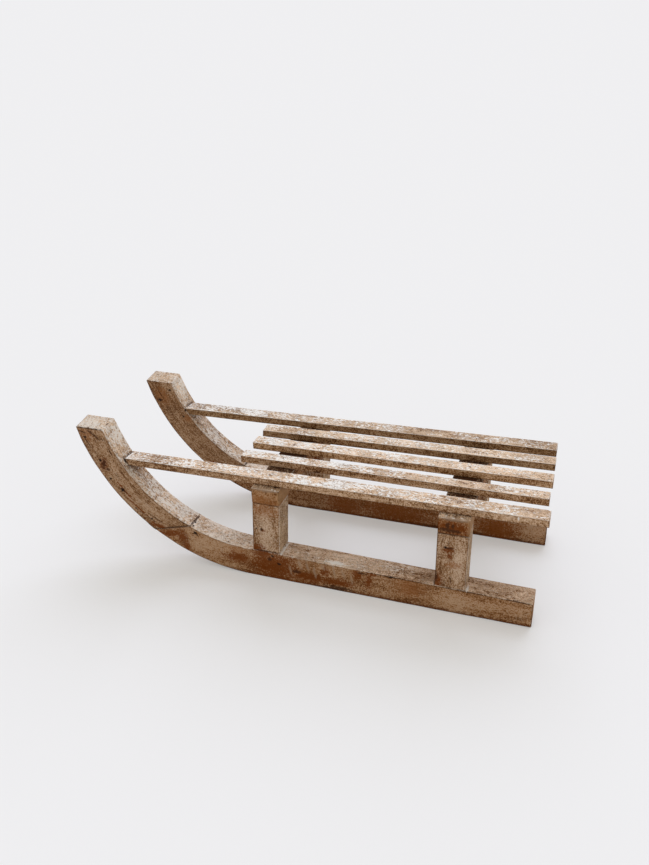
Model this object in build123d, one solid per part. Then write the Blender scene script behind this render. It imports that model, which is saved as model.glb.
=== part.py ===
from build123d import *
import math
import os

# A small rustic wooden sledge.  Two heavy runners turn up at the front into
# curved horns, four short posts stand on the runners, two crossbars lie on the
# posts, and five slats are nailed over the crossbars as the deck.
#
# Frame: X forward (towards the horns), Y left, Z up, in millimetres.  The
# origin is on the ground, under the centre of the sledge's outer box.

# ---------------------------------------------------------------- overall
overall_length = 1012.0      # rear end of the longest slat to the horn tips
overall_width = 340.0        # over the outer faces of the two runners
overall_height = 321.5       # ground to the highest corner of the horns

# ------------------------------------------------------- runners and horns
runner_thickness = 51.5      # across the sledge, the same along the horn
runner_depth_rear = 59.0     # sole to top edge at the rear end
horn_depth = 69.0            # the timber deepens to this where the curve starts
sole_radius = 414.0          # outer radius of the upturned front
left_runner_setback = 11.0   # the runners stop short of the longest slat,
right_runner_setback = 5.5   # and were not sawn quite alike
horn_top_tilt = 7.0          # degrees: the tops were sawn by eye, and both
right_horn_drop = 6.5        # rise to the right; the right horn is shorter
horn_tip_round = 5.0         # worn corner at the rear of the sawn top

# ------------------------------------------- scarf between runner and horn
scarf_ahead = 145.0          # from the start of the curve to the joint's top end
scarf_fall = 15.0            # degrees the joint falls towards the front
scarf_gap = 0.3              # open line left between the two sawn faces

# ------------------------------------------------------ posts and crossbars
post_width = 62.0            # along the sledge; crossbars are as wide
rear_post_distance = 174.5   # rear end of the longest slat to the posts' centre
front_post_distance = 36.5   # posts' centre to the start of the curve
crossbar_depth = 36.0
deck_base = 225.5            # height of the crossbars' top, under the slats

# Degrees each post leans back: they were set by eye.
post_lean = {
    ("front", "left"): 3.6,
    ("front", "right"): 2.2,
    ("rear", "left"): 0.8,
    ("rear", "right"): 0.8,
}

# -------------------------------------------------------------------- slats
slat_thickness = 17.0
outer_slat_width = 37.5
inner_slat_width = 33.0
inner_slat_pitch = 71.5      # centre to centre of the three inner slats
inner_slat_overhang = 64.0   # ahead of the front crossbar
horn_seat_gap = 0.2          # between an outer slat's coped end and the horn

# No two slats are quite alike.  From the right side to the left, columns:
# extra width, sideways shift of the rear end and of the front end, how far the
# rear end stops short of the longest slat, extra overhang at the front.
slat_table = [
    #  wider  rear_y  front_y  short  longer
    (0.5,  -13.0,   0.0,   4.5,  0.0),
    (0.5,  -12.5,  -0.5,   3.5,  4.0),
    (0.5,  -10.0,  -8.5,   3.0,  0.0),
    (-4.0,  -9.5, -12.0,   5.5,  -0.5),
    (-0.5,  -4.0,   0.0,   0.0,  0.0),
]

# ------------------------------------------------------------ derived sizes
deck_rear_x = -overall_length / 2
horn_tip_x = overall_length / 2
runner_rear_x = {
    "left": deck_rear_x + left_runner_setback,
    "right": deck_rear_x + right_runner_setback,
}
horn_top = {"left": overall_height, "right": overall_height - right_horn_drop}
curve_centre_z = sole_radius
top_radius = sole_radius - horn_depth
curve_start_x = horn_tip_x - math.sqrt(sole_radius**2 - (curve_centre_z - overall_height) ** 2)
outer_face_y = overall_width / 2
inner_face_y = outer_face_y - runner_thickness
left_face_y = {"left": outer_face_y, "right": -inner_face_y}
post_foot_x = {
    "front": curve_start_x - front_post_distance,
    "rear": deck_rear_x + rear_post_distance,
}
post_top = deck_base - crossbar_depth
deck_top = deck_base + slat_thickness


def on_curve(radius, height):
    """X of the point at this height on an arc about the curve's centre."""
    return curve_start_x + math.sqrt(radius**2 - (curve_centre_z - height) ** 2)


def runner_top(x, side):
    """Height of the straight runner's top edge at X."""
    rear_x = runner_rear_x[side]
    along = (x - rear_x) / (curve_start_x - rear_x)
    return runner_depth_rear + (horn_depth - runner_depth_rear) * along


def curve_arc(radius, start_height, end_height):
    """The arc between two heights, about the curve's centre."""
    start = math.asin((curve_centre_z - start_height) / radius)
    end = math.asin((curve_centre_z - end_height) / radius)
    points = []
    for angle in (start, (start + end) / 2, end):
        x = curve_start_x + radius * math.cos(angle)
        z = curve_centre_z - radius * math.sin(angle)
        points.append((x, z))
    return ThreePointArc(*points)


def side_extrude(outline, left_y, thickness):
    """Extrude a side outline (X, Z) from its left face towards the right."""
    return extrude(Plane.XZ.offset(-left_y) * outline, amount=thickness)


def runner_outline(side):
    """Side outline of a whole runner with its horn, before the scarf is cut."""
    sole_arc = curve_arc(sole_radius, 0, overall_height)
    top_arc = curve_arc(top_radius, overall_height, horn_depth)
    rear_x = runner_rear_x[side]
    edges = [
        Line((rear_x, 0), sole_arc @ 0),
        sole_arc,
        Line(sole_arc @ 1, top_arc @ 0),
        top_arc,
        Line(top_arc @ 1, (rear_x, runner_depth_rear)),
        Line((rear_x, runner_depth_rear), (rear_x, 0)),
    ]
    return make_face(edges)


def ahead_of_scarf(shift):
    """Side outline of everything on the horn's side of the scarf's saw line."""
    top_x = curve_start_x + scarf_ahead
    top_z = curve_centre_z - math.sqrt(top_radius**2 - scarf_ahead**2) + shift
    fall = math.tan(math.radians(scarf_fall))
    reach = overall_length
    corners = [
        (top_x - reach, top_z + reach * fall),
        (top_x + reach, top_z - reach * fall),
        (top_x + reach, top_z + reach),
        (top_x - reach, top_z + reach),
    ]
    return make_face(Polyline(*corners, close=True))


def make_runner(side):
    """The straight runner with the lower part of the upturn."""
    outline = runner_outline(side) - ahead_of_scarf(0)
    return side_extrude(outline, left_face_y[side], runner_thickness)


def make_horn(side):
    """The curved upper piece, which laps the runner's nose at the scarf."""
    outline = runner_outline(side) & ahead_of_scarf(scarf_gap)
    horn = side_extrude(outline, left_face_y[side], runner_thickness)
    tilt = math.radians(horn_top_tilt)
    high_edge = (0, left_face_y[side] - runner_thickness, horn_top[side])
    saw_cut = Plane(origin=high_edge, z_dir=(0, math.sin(tilt), math.cos(tilt)))
    horn = split(horn, bisect_by=saw_cut, keep=Keep.BOTTOM)
    sawn_top = horn.faces().sort_by(Axis.Z)[-1]
    return fillet(sawn_top.edges().sort_by(Axis.X)[0], horn_tip_round)


def post_side_x(end, side, offset, height):
    """X at a height of a line on a post, offset from its leaning centre line."""
    above_foot = height - runner_top(post_foot_x[end], side)
    lean = math.radians(post_lean[end, side])
    return post_foot_x[end] + offset - math.tan(lean) * above_foot


def make_post(end, side):
    """A leaning post whose foot is sawn to the runner's top edge."""
    half = post_width / 2
    sunk = runner_depth_rear / 2
    corners = []
    for offset, height in ((-half, sunk), (half, sunk), (half, post_top), (-half, post_top)):
        corners.append((post_side_x(end, side, offset, height), height))
    outline = make_face(Polyline(*corners, close=True)) - runner_outline(side)
    return side_extrude(outline, left_face_y[side], runner_thickness)


def make_crossbar(end):
    """A crossbar over a pair of posts, in line with their faces at both ends."""
    half = post_width / 2
    corners = []
    for side, offset in (("left", half), ("left", -half), ("right", -half), ("right", half)):
        y = outer_face_y if side == "left" else -outer_face_y
        corners.append((post_side_x(end, side, offset, post_top), y))
    plan = make_face(Polyline(*corners, close=True))
    return extrude(Pos(0, 0, post_top) * plan, amount=crossbar_depth)


def horn_space():
    """The space ahead of the horns' hollow faces, across the whole width."""
    bottom_z = deck_base - slat_thickness
    top_z = deck_top + slat_thickness
    far_x = horn_tip_x + horn_depth
    seat = curve_arc(top_radius - horn_seat_gap, bottom_z, top_z)
    rest = Polyline(seat @ 1, (far_x, top_z), (far_x, bottom_z), seat @ 0)
    return side_extrude(make_face([seat, rest]), outer_face_y, overall_width)


def make_slat(place, width, rear_shift, front_shift, short, longer):
    """One deck slat, in place -2 (right) to 2 (left).  The outer two run on to
    the horns, flush with their inner faces, and are coped to the hollow curve."""
    meets_horn = abs(place) == 2
    if meets_horn:
        centre_y = math.copysign(inner_face_y + width / 2, place)
        front_x = on_curve(top_radius, deck_top) + slat_thickness
    else:
        centre_y = place * inner_slat_pitch
        crossbar_front_x = post_side_x("front", "right", post_width / 2, post_top)
        front_x = crossbar_front_x + inner_slat_overhang + longer
    rear_x = deck_rear_x + short
    half = width / 2
    corners = [
        (rear_x, centre_y + rear_shift - half),
        (front_x, centre_y + front_shift - half),
        (front_x, centre_y + front_shift + half),
        (rear_x, centre_y + rear_shift + half),
    ]
    plan = make_face(Polyline(*corners, close=True))
    slat = extrude(Pos(0, 0, deck_base) * plan, amount=slat_thickness)
    return slat - horn_space() if meets_horn else slat


def build_pieces():
    pieces = {}
    for side in ("left", "right"):
        pieces[f"runner_{side}"] = make_runner(side)
        pieces[f"horn_{side}"] = make_horn(side)
    for end, side in post_lean:
        pieces[f"post_{end}_{side}"] = make_post(end, side)
    for end in ("front", "rear"):
        pieces[f"crossbar_{end}"] = make_crossbar(end)
    for place, row in zip(range(-2, 3), slat_table):
        wider, rear_shift, front_shift, short, longer = row
        width = (outer_slat_width if abs(place) == 2 else inner_slat_width) + wider
        piece = make_slat(place, width, rear_shift, front_shift, short, longer)
        pieces[f"slat_{place + 3}"] = piece
    return pieces


os.makedirs("parts", exist_ok=True)
for node, solid in build_pieces().items():
    export_step(solid, f"parts/{node}.step")
    print(f"{node:18s} volume {solid.volume / 1e6:6.3f} dm3")
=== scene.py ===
# %% [markdown]
# # Dressing an old wooden sledge
# A small hand sledge: two heavy runners turn up into curved horns, short posts and crossbars carry a deck of
# five slats. The solid shapes are already drawn in CAD and packed as a frame. This notebook gives them what
# years of weather, whitewash and use gave the real wood. The order is: camera, light and floor, then the
# shapes of the timbers, then their paints, and last the nails. First the frame is loaded: every CAD node
# comes in as a mesh in metres, X towards the horns, Y to the left and Z up, with its object at the origin.

import math
import random
from types import SimpleNamespace

import bmesh
import bpy
from mathutils import Matrix, Quaternion, Vector, noise


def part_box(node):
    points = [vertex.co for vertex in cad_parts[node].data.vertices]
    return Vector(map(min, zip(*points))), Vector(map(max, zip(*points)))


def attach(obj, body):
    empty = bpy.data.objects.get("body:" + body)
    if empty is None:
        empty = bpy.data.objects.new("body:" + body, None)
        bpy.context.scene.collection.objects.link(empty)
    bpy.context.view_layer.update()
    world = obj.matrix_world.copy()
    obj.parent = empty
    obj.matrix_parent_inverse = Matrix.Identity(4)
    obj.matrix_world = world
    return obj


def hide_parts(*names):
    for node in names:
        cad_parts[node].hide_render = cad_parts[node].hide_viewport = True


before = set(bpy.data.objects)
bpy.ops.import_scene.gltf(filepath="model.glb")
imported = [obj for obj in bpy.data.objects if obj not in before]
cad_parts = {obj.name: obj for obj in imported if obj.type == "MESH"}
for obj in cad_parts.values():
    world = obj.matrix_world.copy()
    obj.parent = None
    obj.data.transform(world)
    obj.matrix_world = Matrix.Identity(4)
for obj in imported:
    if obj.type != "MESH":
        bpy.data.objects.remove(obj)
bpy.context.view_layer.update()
MM = 0.001
print("nodes:", sorted(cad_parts))

# %% [markdown]
# ## Camera
# A camera is a place, a direction and a focal length. These were worked out once from the sledge's own
# edges, so they are written as plain numbers: millimetres, radians and pixels. `to_track_quat` turns a
# direction into a rotation with level sides, and a second small turn about the line of sight tips the camera
# a little, as a hand-held one is. The focal length is counted along the long side of an upright image,
# because that is the side to which Blender fits the sensor's width when it is left to choose.

# %% Camera
CAMERA_PLACE = Vector((-509.4, 1341.1, 999.2)) * MM
CAMERA_HEADING = 0.3524
CAMERA_DIP = -0.4631
CAMERA_ROLL = -0.0392
LONG_SIDE = 865
FOCAL_PIXELS = 729.8
SENSOR_WIDTH = 36

ahead = Vector((
    math.sin(CAMERA_HEADING) * math.cos(CAMERA_DIP),
    -math.cos(CAMERA_HEADING) * math.cos(CAMERA_DIP),
    math.sin(CAMERA_DIP),
))
camera = bpy.data.objects.new("camera", bpy.data.cameras.new("camera"))
bpy.context.scene.collection.objects.link(camera)
camera.location = CAMERA_PLACE
camera.rotation_mode = "QUATERNION"
camera.rotation_quaternion = ahead.to_track_quat("-Z", "Y") @ Quaternion((0, 0, 1), CAMERA_ROLL)
camera.data.sensor_width = SENSOR_WIDTH
camera.data.lens = SENSOR_WIDTH * FOCAL_PIXELS / LONG_SIDE
bpy.context.scene.camera = camera
print("lens", round(camera.data.lens, 2), "mm, looking along", [round(value, 3) for value in ahead])

# %% [markdown]
# ## Shader sums written as sums
# Old wood needs a lot of small sums on numbers that vary over the surface, and the room's light needs a few
# too. Node by node they are hard to read, so one small class wraps a socket: `+`, `-` and `*` add a Math
# node, or a Vector Math node where the socket is a vector. The reflected forms let a plain number come
# first, as in `1 - mask`. `node` adds any other node, with its settings first and then its sockets. The
# named methods are the few steps that all the woods here share.

# %% Helper: a strand of the shader
class Strand:
    def __init__(self, socket):
        self.socket = socket

    def node(self, kind, settings=None, sockets=None, output=0):
        made = self.socket.id_data.nodes.new(kind)
        for name, value in (settings or {}).items():
            if name == "stops":
                stops = made.color_ramp.elements
                stops.remove(stops[1])
                stops[0].position, stops[0].color = value[0]
                for at, colour in value[1:]:
                    stops.new(at).color = colour
            else:
                setattr(made, name, value)
        for name, value in (sockets or {}).items():
            if isinstance(value, Strand):
                self.socket.id_data.links.new(value.socket, made.inputs[name])
            else:
                made.inputs[name].default_value = value
        return Strand(made.outputs[output]) if made.outputs else None

    def sum(self, operation, first, second):
        kind = "ShaderNodeMath"
        terms = [first, second]
        if self.socket.type == "VECTOR":
            kind = "ShaderNodeVectorMath"
            terms = [(term,) * 3 if isinstance(term, (int, float)) else term for term in terms]
        return self.node(kind, {"operation": operation}, dict(enumerate(terms)))

    def __add__(self, other):
        return self.sum("ADD", self, other)

    __radd__ = __add__

    def __sub__(self, other):
        return self.sum("SUBTRACT", self, other)

    def __rsub__(self, other):
        return self.sum("SUBTRACT", other, self)

    def __mul__(self, other):
        return self.sum("MULTIPLY", self, other)

    __rmul__ = __mul__

    def least(self, other):
        return self.sum("MINIMUM", self, other)

    def alone(self, operation):
        """A sum on this strand alone, such as its sine or its absolute value."""
        return self.node("ShaderNodeMath", {"operation": operation}, {0: self})

    def length(self):
        return self.node("ShaderNodeVectorMath", {"operation": "LENGTH"}, {0: self}, "Value")

    def along(self, direction):
        sockets = {0: self, 1: direction}
        return self.node("ShaderNodeVectorMath", {"operation": "DOT_PRODUCT"}, sockets, "Value")

    def noise(self, scale, detail=2, roughness=0.5):
        sockets = {"Vector": self, "Scale": scale, "Detail": detail, "Roughness": roughness}
        return self.node("ShaderNodeTexNoise", None, sockets, "Fac")

    def fade(self, start, end):
        """Softly from 0 at the start to 1 at the end; the start may be the larger number."""
        settings = {"interpolation_type": "SMOOTHSTEP"}
        return self.node("ShaderNodeMapRange", settings, {"Value": self, "From Min": start, "From Max": end})

    def ramp(self, *stops):
        return self.node("ShaderNodeValToRGB", {"stops": stops}, {"Fac": self}, "Color")

    def mix(self, other, amount):
        settings = {"data_type": "RGBA", "clamp_factor": True}
        return self.node("ShaderNodeMix", settings, {0: amount, 6: self, 7: other}, 2)


print("a strand can:", [name for name in vars(Strand) if not name.startswith("_")])

# %% [markdown]
# ## Colours as a painter picks them
# A colour picker counts what the eye sees, from 0 to 255. A shader adds up light, so its numbers have to be
# linear. The curve between the two is the one that screens follow: a short straight piece near black, and
# above it a power. With this helper every paint below can be written as it was picked.

# %% Helper: paint
def paint(red, green, blue):
    linear = []
    for part in (red, green, blue):
        part = part / 255
        linear.append(part / 12.92 if part <= 0.04045 else ((part + 0.055) / 1.055) ** 2.4)
    return (*linear, 1)


print("mid tan in linear numbers:", [round(part, 3) for part in paint(205, 183, 163)])

# %% [markdown]
# ## Light
# The sledge stands in a pale room with a wide bright window behind it. A sun lamp with a very large angle is
# a good stand-in for such a window: its shadows are soft, and it is equally bright all over the floor. The
# rest comes from an even pale world. Daylight is a little blue and what walls throw back is a little warm,
# so the shadows come out warm. The two are set so that a face that looks up gets a total of about one, at
# which a colour renders as it is written. What shows behind the floor is a colour of its own, as white as
# the lit floor, so that no horizon shows and the sledge gets no extra light from it. The Light Path node
# tells those rays apart: the ones that look from the camera, and the ones that a shine or a glass sends on.

# %% The room and the window
SKY_LIGHT = 0.7
SKY_COLOUR = (1, 0.97, 0.91, 1)
BACK_WHITE = (0.8684, 0.8653, 0.8808, 1)
WINDOW_LIGHT = 1.89
WINDOW_COLOUR = (0.79, 0.84, 1)
WINDOW_HEIGHT = math.radians(42)
WINDOW_SPREAD = math.radians(50)

scene = bpy.context.scene
scene.view_settings.view_transform = "Standard"


def looking_rays(tree):
    paths = tree.nodes.new("ShaderNodeLightPath")
    camera_ray, glossy_ray, through_ray = (
        Strand(paths.outputs[name]) for name in ("Is Camera Ray", "Is Glossy Ray", "Is Transmission Ray")
    )
    return camera_ray + glossy_ray + through_ray


world = bpy.data.worlds.new("pale room")
world.use_nodes = True
world.node_tree.nodes.clear()
looking = looking_rays(world.node_tree)
lights_it = looking.node("ShaderNodeBackground", None, {"Color": SKY_COLOUR, "Strength": SKY_LIGHT})
shows = looking.node("ShaderNodeBackground", None, {"Color": BACK_WHITE})
either = looking.node("ShaderNodeMixShader", None, {0: looking, 1: lights_it, 2: shows})
either.node("ShaderNodeOutputWorld", None, {"Surface": either})
scene.world = world

window = bpy.data.objects.new("window light", bpy.data.lights.new("window light", "SUN"))
scene.collection.objects.link(window)
window.data.energy = WINDOW_LIGHT
window.data.color = WINDOW_COLOUR
window.data.angle = WINDOW_SPREAD
window_from = Vector((0, -math.cos(WINDOW_HEIGHT), math.sin(WINDOW_HEIGHT)))
window.rotation_mode = "QUATERNION"
window.rotation_quaternion = window_from.to_track_quat("Z", "Y")

window_share = WINDOW_LIGHT * math.sin(WINDOW_HEIGHT) / math.pi
on_top = [SKY_LIGHT * sky + window_share * glass for sky, glass in zip(SKY_COLOUR, WINDOW_COLOUR)]
print("light on an upward face, red, green and blue:", [round(part, 3) for part in on_top])

# %% [markdown] ## Floor The floor is white paint without any shine, on a disc so wide that its rim is out of
# sight. White walls all round would throw light into every shadow on it. Building them would cost light and
# time, so the shadows are filled by hand: for the rays that look, a share `SHADOW_LIFT` of the floor is an
# even, slightly warm glow. Rays that carry light to the sledge meet plain paint.

# %% The floor
FLOOR_WHITE = (0.856, 0.857, 0.868, 1)
LIFT_WHITE = (0.862, 0.852, 0.835, 1)
SHADOW_LIFT = 0.32
FLOOR_RADIUS = 25

floor_bm = bmesh.new()
bmesh.ops.create_circle(floor_bm, cap_ends=True, radius=FLOOR_RADIUS, segments=64)
floor_mesh = bpy.data.meshes.new("floor")
floor_bm.to_mesh(floor_mesh)
floor_bm.free()
floor = bpy.data.objects.new("floor", floor_mesh)
scene.collection.objects.link(floor)
floor_paint = bpy.data.materials.new("white floor")
floor_paint.use_nodes = True
floor_paint.node_tree.nodes.clear()
looking = looking_rays(floor_paint.node_tree)
painted = looking.node("ShaderNodeBsdfPrincipled", None, {"Base Color": FLOOR_WHITE, "Specular IOR Level": 0})
glow = looking.node("ShaderNodeEmission", None, {"Color": LIFT_WHITE})
lifted = looking.node("ShaderNodeMixShader", None, {0: looking * SHADOW_LIFT, 1: painted, 2: glow})
lifted.node("ShaderNodeOutputMaterial", None, {"Surface": lifted})
floor_mesh.materials.append(floor_paint)
print("floor of", 2 * FLOOR_RADIUS, "m across, shadows lifted by", SHADOW_LIFT)

# %% [markdown]
# ## Timber from a CAD solid
# A hewn timber is nearly the CAD solid, but no real one is quite straight and no corner is sharp. So each
# new timber starts as a copy of its CAD mesh. That mesh is loose triangles: `remove_doubles` joins them, and
# `dissolve_limit` melts the triangles of one flat face into one face. The runners' noses and the horns
# follow one big circle about an axis high above the runners, so its place and its two radii are written down
# here too.

# %% Helper: a whole timber
CURVE_START = 102.47
CURVE_AXIS = Vector((CURVE_START, 0, 414)) * MM
SOLE_RADIUS = 414 * MM
HOLLOW_RADIUS = 345 * MM


def whole_timber(node):
    timber = bmesh.new()
    timber.from_mesh(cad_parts[node].data)
    bmesh.ops.remove_doubles(timber, verts=timber.verts, dist=0.01 * MM)
    bmesh.ops.dissolve_limit(timber, angle_limit=math.radians(1), verts=timber.verts, edges=timber.edges)
    return timber


tried = whole_timber("slat_3")
print("slat_3 as one shape:", len(tried.faces), "faces")

# %% [markdown]
# ## Corners, and a border inside every face
# A worn corner needs points on the corner and a line of points a little inside it, where the wear has faded
# out. `inset_region` draws that line. It works on one smooth patch at a time, so the faces are first
# gathered into patches: two neighbours belong together when the corner between them is blunter than
# `CORNER`.

# %% Helper: smooth patches and their borders
CORNER = math.radians(28)


def is_corner(edge):
    return edge.calc_face_angle(0) > CORNER


def smooth_patches(timber):
    seen = set()
    patches = []
    for start in timber.faces:
        if start in seen:
            continue
        seen.add(start)
        patch = [start]
        for face in patch:
            for edge in face.edges:
                if is_corner(edge):
                    continue
                for other in edge.link_faces:
                    if other not in seen:
                        seen.add(other)
                        patch.append(other)
        patches.append(patch)
    return patches


def border_faces(timber, margin):
    patches = smooth_patches(timber)
    for patch in patches:
        bmesh.ops.inset_region(
            timber, faces=patch, thickness=margin, use_boundary=True, use_even_offset=True
        )
    return len(patches)


print("slat_3 has", border_faces(tried, 5 * MM), "patches and now", len(tried.faces), "faces")
tried.free()

# %% [markdown]
# ## Slices across the grain
# Unevenness needs points all along a timber. `bisect_plane` cuts a ring of them wherever a plane crosses it.
# Planes at uneven steps look less mechanical than even ones. A straight timber is cut square to its length,
# and a bent one by a fan of planes through the axis of its curve, so that every cut crosses the grain. A
# bent face comes in as short flats, so `onto_the_curve` sets the new points back on the true circle.

# %% Helper: slices
TOUCHING = 0.02 * MM


def slice_at(timber, places):
    for point, facing in places:
        whole = timber.verts[:] + timber.edges[:] + timber.faces[:]
        bmesh.ops.bisect_plane(timber, geom=whole, dist=TOUCHING, plane_co=point, plane_no=facing)


def uneven_steps(start, end, step, dice):
    at = start
    while at < end:
        yield at
        at += step * dice.uniform(0.7, 1.3)


def straight_slices(axis, start, end, step, dice):
    facing = Vector((axis == 0, axis == 1, axis == 2))
    return [(facing * at, facing) for at in uneven_steps(start, end, step, dice)]


def fan_slices(start, end, step, dice):
    slices = []
    for angle in uneven_steps(start, end, step, dice):
        slices.append((CURVE_AXIS, Vector((math.cos(angle), 0, math.sin(angle)))))
    return slices


def onto_the_curve(timber, reach):
    for vert in timber.verts:
        out = vert.co - CURVE_AXIS
        out.y = 0
        if out.x < 0 or out.z > 0:
            continue
        for radius in (SOLE_RADIUS, HOLLOW_RADIUS):
            if 0 < abs(out.length - radius) < reach:
                vert.co += out.normalized() * (radius - out.length)


steps = list(uneven_steps(0, 50, 4, random.Random(1)))
print("uneven steps of about 4 mm over 50 mm:", [round(step, 1) for step in steps])

# %% [markdown]
# ## Uneven faces and chips
# All points are pressed in by a few tenths of a millimetre, in long waves and short ones, as drying wood
# moves. Some places get a chip, which is written as a place, a reach and a push in millimetres and fades out
# towards its reach. Neighbouring timbers touch each other, so `keep_inside` holds every point a hair within
# the box of its own CAD solid.

# %% Helper: uneven faces and chips
LONG_WAVES, SHORT_WAVES = 14, 75
ROOM_AT_THE_BOX = (0.05 * MM, 0.3 * MM, 0.05 * MM)


def press_in(timber, seed, depth):
    shift = Vector((seed * 3.7, seed * 1.9, seed * 5.3))
    timber.normal_update()
    for vert in timber.verts:
        waves = noise.noise(vert.co * LONG_WAVES + shift) * 0.6
        waves += noise.noise(vert.co * SHORT_WAVES + shift) * 0.4
        vert.co -= vert.normal * depth * (0.6 + 0.9 * max(-0.6, min(waves, 0.6)))


def chip(timber, place, reach, push):
    place = Vector(place) * MM
    push = Vector(push) * MM
    for vert in timber.verts:
        near = 1 - (vert.co - place).length / (reach * MM)
        if near > 0:
            vert.co += push * near * near * (3 - 2 * near)


def keep_inside(timber, node):
    low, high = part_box(node)
    for vert in timber.verts:
        for axis, room_left in enumerate(ROOM_AT_THE_BOX):
            vert.co[axis] = max(low[axis] + room_left, min(vert.co[axis], high[axis] - room_left))


print("waves of about", round(1 / LONG_WAVES / MM), "and", round(1 / SHORT_WAVES / MM), "mm")

# %% [markdown]
# ## Rounded corners
# Each corner edge gets a bevel weight from smooth noise, so that the Bevel modifier rounds it more in one
# place than in another. Only the scarf stays sharp, where two sawn faces meet. It falls towards the front,
# from the top of the joint, and an edge that lies on its plane belongs to it. The points on a corner are
# also marked in an attribute, which the paint reads later.

# %% Helper: rounded corners
SCARF_START = Vector((247.47, 0, 101.25)) * MM
SCARF_FALL = math.radians(15)
SCARF_FACING = Vector((math.tan(SCARF_FALL), 0, 1)).normalized()
SCARF_REACH, SCARF_WEIGHT = 1.3 * MM, 0.1
LONG_WEAR, SHORT_WEAR = 55, 190


def is_on_scarf(vert):
    return abs((vert.co - SCARF_START).dot(SCARF_FACING)) < SCARF_REACH


def wear_corners(timber, seed, least):
    shift = Vector((seed * 2.3, seed * 4.1, seed * 0.7))
    weight = timber.edges.layers.float.new("bevel_weight_edge")
    arris = timber.verts.layers.float.new("arris")
    for edge in timber.edges:
        if not is_corner(edge):
            continue
        middle = (edge.verts[0].co + edge.verts[1].co) / 2
        worn = 0.5 + 0.9 * noise.noise(middle * LONG_WEAR + shift)
        worn += 0.5 * noise.noise(middle * SHORT_WEAR + shift)
        edge[weight] = least + (1 - least) * max(0, min(worn, 1))
        if all(is_on_scarf(vert) for vert in edge.verts):
            edge[weight] = SCARF_WEIGHT
        for vert in edge.verts:
            vert[arris] = 1


print("the scarf's plane faces", [round(part, 3) for part in SCARF_FACING])

# %% [markdown] ## From points to a piece The mesh goes into an object at the origin. The Bevel modifier
# does the rounding, in two segments, as wide as each edge's weight allows. Normals that came with the CAD
# mesh are thrown away, because they belong to the old faces.

# %% Helper: a finished piece
def finish_piece(timber, node, rounding):
    keep_inside(timber, node)
    bmesh.ops.dissolve_degenerate(timber, dist=TOUCHING, edges=timber.edges)
    mesh = bpy.data.meshes.new(node + "_timber")
    timber.to_mesh(mesh)
    timber.free()
    if "custom_normal" in mesh.attributes:
        mesh.attributes.remove(mesh.attributes["custom_normal"])
    mesh.shade_smooth()
    piece = bpy.data.objects.new(node + "_timber", mesh)
    scene.collection.objects.link(piece)
    rounded = piece.modifiers.new("worn corners", "BEVEL")
    rounded.width = rounding * MM
    rounded.segments = 2
    rounded.profile = 0.5
    rounded.limit_method = "WEIGHT"
    rounded.use_clamp_overlap = False
    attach(piece, "root")
    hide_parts(node)
    timbers[node] = piece
    print(node, len(mesh.polygons), "faces")


timbers = {}
print("timbers to come:", len(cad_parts))

# %% [markdown]
# ## Runners
# Each runner is one heavy timber, sawn flat on its sole and its sides and a little deeper towards the front,
# where its nose turns up and meets the horn in a long sloping scarf. It is cut across every 4 mm or so,
# square to its length and then in a fan. The border is 6 mm, wider than the deepest rounding.

# %% Runners
def make_runner(node, seed, chips):
    dice = random.Random(seed)
    runner = whole_timber(node)
    border_faces(runner, 6 * MM)
    slice_at(runner, straight_slices(0, -492 * MM, (CURVE_START - 3) * MM, 4.2 * MM, dice))
    slice_at(runner, fan_slices(0.004, math.radians(36), 0.0105, dice))
    onto_the_curve(runner, 0.4 * MM)
    press_in(runner, seed, 0.5 * MM)
    for place, reach, push in chips:
        chip(runner, place, reach, push)
    wear_corners(runner, seed, 0.35)
    finish_piece(runner, node, 3.4)


make_runner("runner_left", 11, [
    ((159.5, 170, 73.3), 9, (0, -2.2, -1.6)),
    ((-89, 170, 67), 14, (0, -1.2, -0.8)),
    ((-495, 170, 58), 13, (1.6, -1.8, -1.6)),
    ((-230, 170, 64), 9, (0, -1.2, -1)),
])
make_runner("runner_right", 12, [
    ((-500, -170, 58), 15, (1.8, 1.8, -1.6)),
    ((-160, -170, 65), 12, (0, 1.6, -1.4)),
    ((188, -170, 78), 10, (0, 1.8, -1.2)),
])

# %% [markdown]
# ## The blank of a horn
# A horn is sawn from a naturally bent branch. It carries on the runner's curve, from the scarf up to a top
# sawn off at a slant. A bend of one section is what `spin` is for: a rectangle goes round the axis of the
# curve, in short steps and then one long one that the saw cut falls in. Two `bisect_plane` cuts saw it to
# length and `holes_fill` closes the ends. A closed shape has no open edge, so those are counted.

# %% Helper: the blank of a horn
THICKNESS = 51.5 * MM
OUTER_FACE = 170 * MM
HORN_FOOT = math.radians(18.25)
TOP_TILT = math.radians(7)
HIGH_EDGE = {"left": Vector((0, 118.5, 321.5)) * MM, "right": Vector((0, -170, 315)) * MM}


def saw_off(timber, point, facing, keep_below):
    whole = timber.verts[:] + timber.edges[:] + timber.faces[:]
    bmesh.ops.bisect_plane(
        timber, geom=whole, dist=TOUCHING, plane_co=point, plane_no=facing,
        clear_outer=keep_below, clear_inner=not keep_below,
    )
    bmesh.ops.holes_fill(timber, edges=timber.edges, sides=0)


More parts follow.
